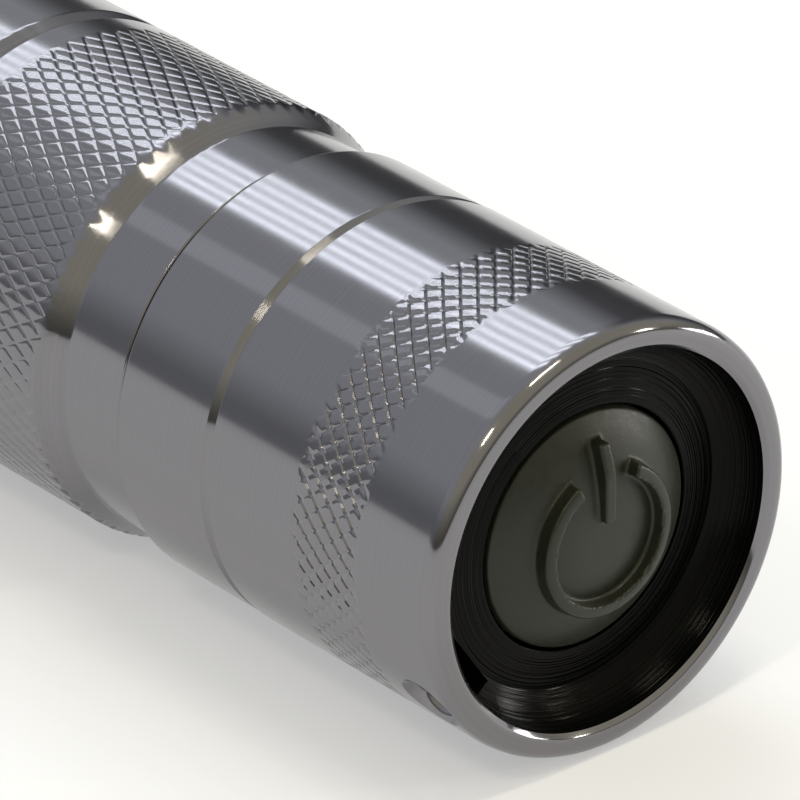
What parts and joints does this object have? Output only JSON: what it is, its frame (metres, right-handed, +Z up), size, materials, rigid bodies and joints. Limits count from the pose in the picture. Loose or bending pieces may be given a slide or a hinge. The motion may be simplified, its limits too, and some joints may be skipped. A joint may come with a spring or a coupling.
{
  "type": "flashlight",
  "caption": "Turned metal tube flashlight with knurled grip, recessed rubber tail button, screwed tail cap and head, cooling grooves, six-sided anti-roll collar and glass lens.",
  "frame": {"origin": "centre of the light's length and width, on the surface that it lies on", "axes": "+Y along the beam, from the tail button to the lens; +Z up, away from the head's flat that the light rests on; +X to the right seen from the tail"},
  "size_m": [0.0286, 0.1246, 0.0259],
  "materials": {
    "turned_aluminium": "fine turned, clear satin anodised",
    "boot_rubber": "matte moulded silicone rubber",
    "steel": "turned stainless steel",
    "black_plastic": "moulded",
    "white_plastic": "moulded",
    "spring_steel": "plated wire",
    "brass": "turned",
    "circuit_board": "solder mask over glass epoxy",
    "seal_rubber": "satin nitrile rubber",
    "cell_wrap": "shrunk plastic wrap over a steel can",
    "ferrite": "moulded ferrite",
    "wire_cover": "silicone sleeve",
    "white_board": "white solder mask over a metal core",
    "led_phosphor": "phosphor coat",
    "led_silicone": "clear moulded silicone",
    "reflector_mirror": "metallised, smooth",
    "lens_glass": "clear flat glass, coated"
  },
  "bodies": {
    "tube": {"battery_tube": "turned_aluminium", "tail_o_ring": "seal_rubber", "head_o_ring": "seal_rubber", "battery_cell": "cell_wrap", "battery_positive_end": "steel", "battery_insulator_ring": "white_plastic"},
    "tail_contact": {"tail_spring": "spring_steel"},
    "tail": {"tail_cap": "turned_aluminium", "boot_skirt": "boot_rubber", "boot_washer": "steel", "switch_case": "black_plastic", "switch_return_spring": "spring_steel", "switch_terminals": "brass", "switch_board": "circuit_board", "switch_retaining_ring": "brass"},
    "button": {"boot_crown": "boot_rubber", "switch_plunger": "white_plastic"},
    "head_contact": {"head_spring": "spring_steel"},
    "head": {"head_shell": "turned_aluminium", "brass_pill": "brass", "driver_board": "circuit_board", "driver_coil": "ferrite", "driver_chips": "black_plastic", "led_wires": "wire_cover", "led_board": "white_board", "led_package": "led_phosphor", "led_dome": "led_silicone", "led_centring_ring": "white_plastic", "reflector": "reflector_mirror", "glass_lens": "lens_glass", "lens_o_ring": "seal_rubber", "bezel_ring": "steel"}
  },
  "joints": [
    {"name": "tail_cap_travel", "type": "slide", "parent": "tube", "child": "tail_contact", "axis": [0, -1, 0], "range_m": [0, 0.005]},
    {"name": "tail_cap_turn", "type": "hinge", "parent": "tail_contact", "child": "tail", "pos_m": [0, -0.05, 0.01295], "axis": [0, -1, 0], "range_deg": [0, 1800]},
    {"name": "button_press", "type": "slide", "parent": "tail", "child": "button", "axis": [0, 1, 0], "range_m": [0, 0.0016], "stiffness_N_per_m": 1500, "springref_m": -0.0006, "deforming": ["switch_return_spring"]},
    {"name": "head_travel", "type": "slide", "parent": "tube", "child": "head_contact", "axis": [0, 1, 0], "range_m": [0, 0.005]},
    {"name": "head_turn", "type": "hinge", "parent": "head_contact", "child": "head", "pos_m": [0, 0.04, 0.01295], "axis": [0, 1, 0], "range_deg": [0, 1800]}
  ],
  "couplings": [
    {"joint": "tail_cap_turn", "follows": "tail_cap_travel", "rad_per_m": 6283.2},
    {"joint": "head_turn", "follows": "head_travel", "rad_per_m": 6283.2}
  ]
}
